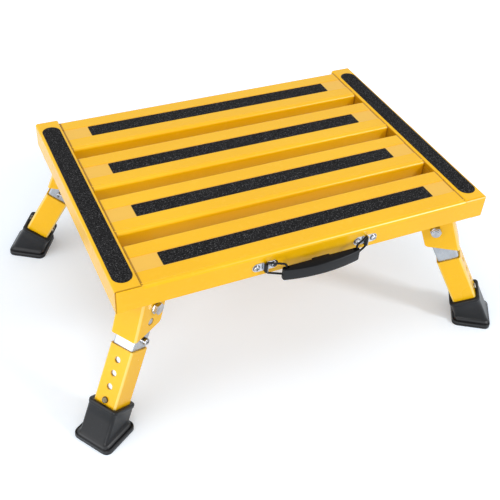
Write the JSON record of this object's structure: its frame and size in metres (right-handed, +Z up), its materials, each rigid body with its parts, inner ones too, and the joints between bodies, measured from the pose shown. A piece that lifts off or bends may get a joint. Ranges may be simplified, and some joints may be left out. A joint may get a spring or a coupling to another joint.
{
  "type": "caravan entry step",
  "caption": "Folding yellow platform step for a caravan door, with slatted deck, gritty strips, splayed telescoping legs, rubber feet and a small carry handle.",
  "frame": {"origin": "on the ground under the middle of the deck", "axes": "+X along the deck's long side, -Y towards the apron with the handle, +Z up"},
  "size_m": [0.6044, 0.4334, 0.2118],
  "materials": {
    "deck_paint": "satin powder coat",
    "strip": "gritty anti-slip tape",
    "zinc": "bright zinc plated",
    "fastener": "bright nickel plated",
    "spring_steel": "plain spring steel",
    "foot_rubber": "smooth moulded rubber",
    "grip_plastic": "moulded satin",
    "black_wire": "black coated wire"
  },
  "bodies": {
    "deck": {"side_rail_left": "deck_paint", "side_rail_right": "deck_paint", "tread_front": "deck_paint", "tread_second": "deck_paint", "tread_third": "deck_paint", "tread_rear": "deck_paint", "strip_front": "strip", "strip_second": "strip", "strip_third": "strip", "strip_rear": "strip", "strip_rail_left": "strip", "strip_rail_right": "strip", "bracket_front_left": "deck_paint", "bracket_front_right": "deck_paint", "bracket_rear_left": "deck_paint", "bracket_rear_right": "deck_paint", "pivot_bolts": "fastener", "pivot_washers": "fastener", "pivot_nuts": "fastener", "handle_strap_left": "zinc", "handle_strap_right": "zinc", "strap_screws": "fastener"},
    "upper_leg_front_left": {"leg_tube_front_left": "zinc", "lock_spring_front_left": "spring_steel", "snap_clip_front_left": "spring_steel"},
    "lower_leg_front_left": {"foot_tube_front_left": "deck_paint", "foot_front_left": "foot_rubber"},
    "release_front_left": {"release_button_front_left": "fastener"},
    "outer_snap_front_left": {"snap_out_front_left": "fastener"},
    "inner_snap_front_left": {"snap_in_front_left": "fastener"},
    "upper_leg_front_right": {"leg_tube_front_right": "zinc", "lock_spring_front_right": "spring_steel", "snap_clip_front_right": "spring_steel"},
    "lower_leg_front_right": {"foot_tube_front_right": "deck_paint", "foot_front_right": "foot_rubber"},
    "release_front_right": {"release_button_front_right": "fastener"},
    "outer_snap_front_right": {"snap_out_front_right": "fastener"},
    "inner_snap_front_right": {"snap_in_front_right": "fastener"},
    "upper_leg_rear_left": {"leg_tube_rear_left": "zinc", "lock_spring_rear_left": "spring_steel", "snap_clip_rear_left": "spring_steel"},
    "lower_leg_rear_left": {"foot_tube_rear_left": "deck_paint", "foot_rear_left": "foot_rubber"},
    "release_rear_left": {"release_button_rear_left": "fastener"},
    "outer_snap_rear_left": {"snap_out_rear_left": "fastener"},
    "inner_snap_rear_left": {"snap_in_rear_left": "fastener"},
    "upper_leg_rear_right": {"leg_tube_rear_right": "zinc", "lock_spring_rear_right": "spring_steel", "snap_clip_rear_right": "spring_steel"},
    "lower_leg_rear_right": {"foot_tube_rear_right": "deck_paint", "foot_rear_right": "foot_rubber"},
    "release_rear_right": {"release_button_rear_right": "fastener"},
    "outer_snap_rear_right": {"snap_out_rear_right": "fastener"},
    "inner_snap_rear_right": {"snap_in_rear_right": "fastener"},
    "grip": {"handle_grip": "grip_plastic"},
    "bail_left": {"handle_bail_left": "black_wire"},
    "bail_right": {"handle_bail_right": "black_wire"}
  },
  "joints": [
    {"name": "fold_front_left", "type": "hinge", "parent": "deck", "child": "upper_leg_front_left", "pos_m": [-0.2006, -0.1393, 0.1557], "axis": [-0.5373, 0.8434, 0], "range_deg": [-117, 0], "deforming": ["lock_spring_front_left"]},
    {"name": "height_front_left", "type": "slide", "parent": "upper_leg_front_left", "child": "lower_leg_front_left", "axis": [-0.4024, -0.2564, -0.8788], "range_m": [0, 0.05235], "deforming": ["snap_clip_front_left", "snap_out_front_left", "snap_in_front_left"]},
    {"name": "press_release_front_left", "type": "slide", "parent": "upper_leg_front_left", "child": "release_front_left", "axis": [-0.5373, 0.8434, 0], "range_m": [0, 0.005], "stiffness_N_per_m": 600, "springref_m": -0.002, "deforming": ["lock_spring_front_left"]},
    {"name": "press_outer_snap_front_left", "type": "slide", "parent": "upper_leg_front_left", "child": "outer_snap_front_left", "axis": [0.7412, 0.4722, -0.4772], "range_m": [0, 0.0049], "stiffness_N_per_m": 1000, "springref_m": -0.002, "deforming": ["snap_clip_front_left"]},
    {"name": "press_inner_snap_front_left", "type": "slide", "parent": "upper_leg_front_left", "child": "inner_snap_front_left", "axis": [-0.7412, -0.4722, 0.4772], "range_m": [0, 0.0049], "stiffness_N_per_m": 1000, "springref_m": -0.002, "deforming": ["snap_clip_front_left"]},
    {"name": "fold_front_right", "type": "hinge", "parent": "deck", "child": "upper_leg_front_right", "pos_m": [0.2006, -0.1393, 0.1557], "axis": [-0.5373, -0.8434, 0], "range_deg": [-117, 0], "deforming": ["lock_spring_front_right"]},
    {"name": "height_front_right", "type": "slide", "parent": "upper_leg_front_right", "child": "lower_leg_front_right", "axis": [0.4024, -0.2564, -0.8788], "range_m": [0, 0.05235], "deforming": ["snap_clip_front_right", "snap_out_front_right", "snap_in_front_right"]},
    {"name": "press_release_front_right", "type": "slide", "parent": "upper_leg_front_right", "child": "release_front_right", "axis": [-0.5373, -0.8434, 0], "range_m": [0, 0.005], "stiffness_N_per_m": 600, "springref_m": -0.002, "deforming": ["lock_spring_front_right"]},
    {"name": "press_outer_snap_front_right", "type": "slide", "parent": "upper_leg_front_right", "child": "outer_snap_front_right", "axis": [-0.7412, 0.4722, -0.4772], "range_m": [0, 0.0049], "stiffness_N_per_m": 1000, "springref_m": -0.002, "deforming": ["snap_clip_front_right"]},
    {"name": "press_inner_snap_front_right", "type": "slide", "parent": "upper_leg_front_right", "child": "inner_snap_front_right", "axis": [0.7412, -0.4722, 0.4772], "range_m": [0, 0.0049], "stiffness_N_per_m": 1000, "springref_m": -0.002, "deforming": ["snap_clip_front_right"]},
    {"name": "fold_rear_left", "type": "hinge", "parent": "deck", "child": "upper_leg_rear_left", "pos_m": [-0.2006, 0.1393, 0.1557], "axis": [0.5373, 0.8434, 0], "range_deg": [-117, 0], "deforming": ["lock_spring_rear_left"]},
    {"name": "height_rear_left", "type": "slide", "parent": "upper_leg_rear_left", "child": "lower_leg_rear_left", "axis": [-0.4024, 0.2564, -0.8788], "range_m": [0, 0.05235], "deforming": ["snap_clip_rear_left", "snap_out_rear_left", "snap_in_rear_left"]},
    {"name": "press_release_rear_left", "type": "slide", "parent": "upper_leg_rear_left", "child": "release_rear_left", "axis": [0.5373, 0.8434, 0], "range_m": [0, 0.005], "stiffness_N_per_m": 600, "springref_m": -0.002, "deforming": ["lock_spring_rear_left"]},
    {"name": "press_outer_snap_rear_left", "type": "slide", "parent": "upper_leg_rear_left", "child": "outer_snap_rear_left", "axis": [0.7412, -0.4722, -0.4772], "range_m": [0, 0.0049], "stiffness_N_per_m": 1000, "springref_m": -0.002, "deforming": ["snap_clip_rear_left"]},
    {"name": "press_inner_snap_rear_left", "type": "slide", "parent": "upper_leg_rear_left", "child": "inner_snap_rear_left", "axis": [-0.7412, 0.4722, 0.4772], "range_m": [0, 0.0049], "stiffness_N_per_m": 1000, "springref_m": -0.002, "deforming": ["snap_clip_rear_left"]},
    {"name": "fold_rear_right", "type": "hinge", "parent": "deck", "child": "upper_leg_rear_right", "pos_m": [0.2006, 0.1393, 0.1557], "axis": [0.5373, -0.8434, 0], "range_deg": [-117, 0], "deforming": ["lock_spring_rear_right"]},
    {"name": "height_rear_right", "type": "slide", "parent": "upper_leg_rear_right", "child": "lower_leg_rear_right", "axis": [0.4024, 0.2564, -0.8788], "range_m": [0, 0.05235], "deforming": ["snap_clip_rear_right", "snap_out_rear_right", "snap_in_rear_right"]},
    {"name": "press_release_rear_right", "type": "slide", "parent": "upper_leg_rear_right", "child": "release_rear_right", "axis": [0.5373, -0.8434, 0], "range_m": [0, 0.005], "stiffness_N_per_m": 600, "springref_m": -0.002, "deforming": ["lock_spring_rear_right"]},
    {"name": "press_outer_snap_rear_right", "type": "slide", "parent": "upper_leg_rear_right", "child": "outer_snap_rear_right", "axis": [-0.7412, -0.4722, -0.4772], "range_m": [0, 0.0049], "stiffness_N_per_m": 1000, "springref_m": -0.002, "deforming": ["snap_clip_rear_right"]},
    {"name": "press_inner_snap_rear_right", "type": "slide", "parent": "upper_leg_rear_right", "child": "inner_snap_rear_right", "axis": [0.7412, 0.4722, 0.4772], "range_m": [0, 0.0049], "stiffness_N_per_m": 1000, "springref_m": -0.002, "deforming": ["snap_clip_rear_right"]},
    {"name": "handle_reach", "type": "slide", "parent": "deck", "child": "grip", "axis": [0, 1, 0], "range_m": [-0.0016, 0.009]},
    {"name": "bail_swing_left", "type": "hinge", "parent": "deck", "child": "bail_left", "pos_m": [-0.066, -0.1775, 0.1938], "axis": [0, 0, 1], "range_deg": [-4.6, 24.6]},
    {"name": "bail_swing_right", "type": "hinge", "parent": "deck", "child": "bail_right", "pos_m": [0.066, -0.1775, 0.1938], "axis": [0, 0, -1], "range_deg": [-4.6, 24.6]}
  ],
  "couplings": [
    {"joint": "bail_swing_left", "follows": "handle_reach", "rad_per_m": 46.5},
    {"joint": "bail_swing_right", "follows": "handle_reach", "rad_per_m": 46.5}
  ]
}
